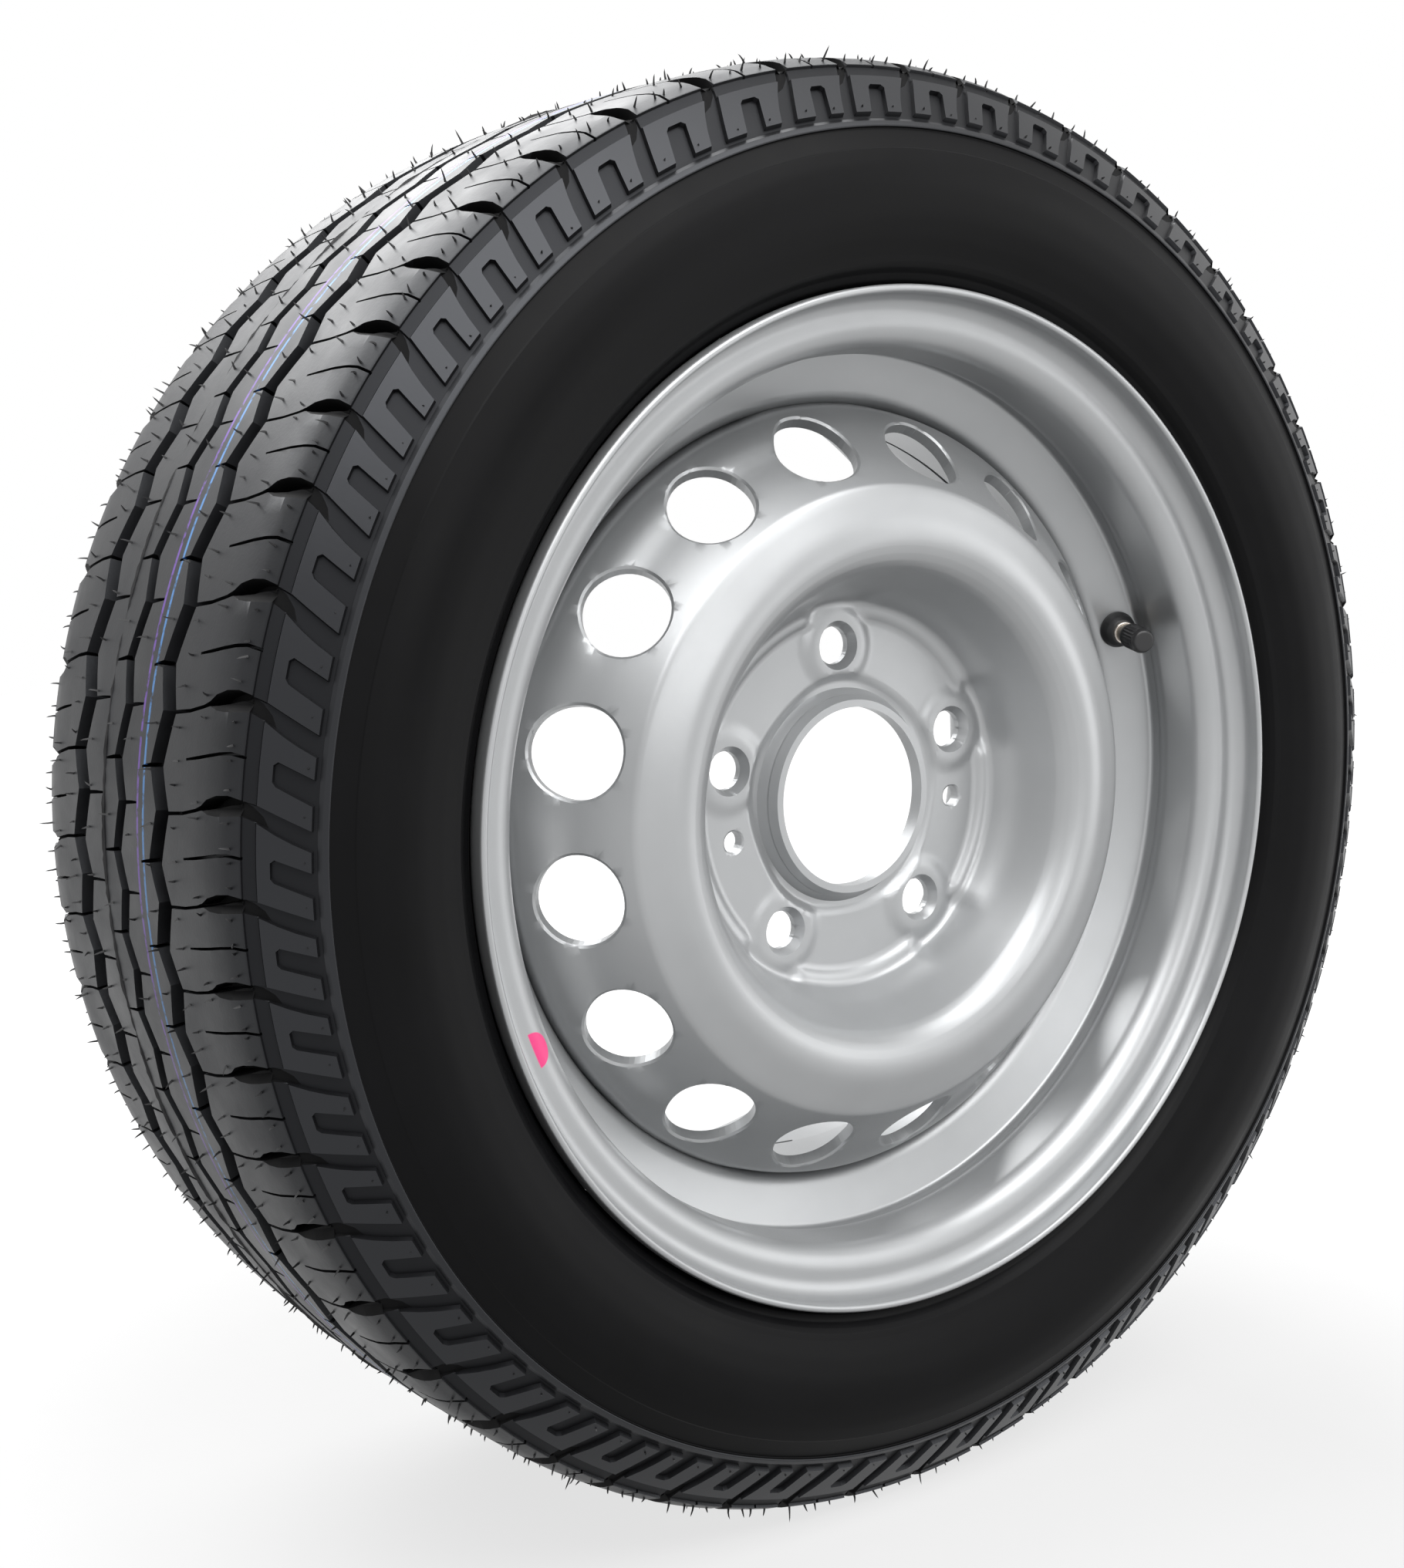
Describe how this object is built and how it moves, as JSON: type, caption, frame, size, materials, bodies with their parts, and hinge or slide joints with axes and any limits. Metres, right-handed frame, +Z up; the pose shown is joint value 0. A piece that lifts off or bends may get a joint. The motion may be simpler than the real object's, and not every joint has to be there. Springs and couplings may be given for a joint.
{
  "type": "trailer wheel and tyre assembly",
  "caption": "Complete light-trailer road wheel: tubeless radial tyre with zigzag grooves on a pressed, vented and welded steel wheel with a snap-in valve and screw cap, bolted to a hub.",
  "frame": {"origin": "wheel centre: on the rotation axis, midway between the rim flanges", "axes": "+Y along the rotation axis towards the vehicle (inboard), -Y outboard, +Z up, +X to the right seen from outboard"},
  "size_m": [0.524, 0.196, 0.524],
  "materials": {
    "tyre_rubber": "matt black tread and sidewall rubber",
    "silver_paint": "satin silver paint on pressed steel",
    "valve_rubber": "moulded black rubber",
    "stem_metal": "dull nickel-plated brass",
    "core_brass": "turned brass",
    "cap_plastic": "moulded black plastic",
    "spring_steel": "bright spring wire"
  },
  "bodies": {
    "wheel": {"tyre": "tyre_rubber", "rim": "silver_paint", "wheel_disc": "silver_paint", "disc_welds": "silver_paint", "valve_body": "valve_rubber", "valve_stem": "stem_metal", "core_plug": "core_brass", "core_barrel": "core_brass", "core_gasket": "valve_rubber", "core_spring": "spring_steel"},
    "plunger": {"core_pin": "core_brass", "plunger_seal": "valve_rubber", "plunger_cup": "core_brass"},
    "cap_carrier": {"cap_washer": "valve_rubber"},
    "cap": {"valve_cap": "cap_plastic"}
  },
  "joints": [
    {"name": "pin_press", "type": "slide", "parent": "wheel", "child": "plunger", "axis": [0.3697, 0.9171, 0.1494], "range_m": [0, 0.0015], "stiffness_N_per_m": 400, "springref_m": -0.0025, "deforming": ["core_spring"]},
    {"name": "cap_lift", "type": "slide", "parent": "wheel", "child": "cap_carrier", "axis": [-0.3697, -0.9171, -0.1494], "range_m": [0, 0.00635]},
    {"name": "cap_turn", "type": "hinge", "parent": "cap_carrier", "child": "cap", "pos_m": [0.13586, -0.0632, 0.05489], "axis": [-0.3697, -0.9171, -0.1494], "range_deg": [0, 2880]}
  ],
  "couplings": [
    {"joint": "cap_turn", "follows": "cap_lift", "rad_per_m": 7915.8}
  ]
}
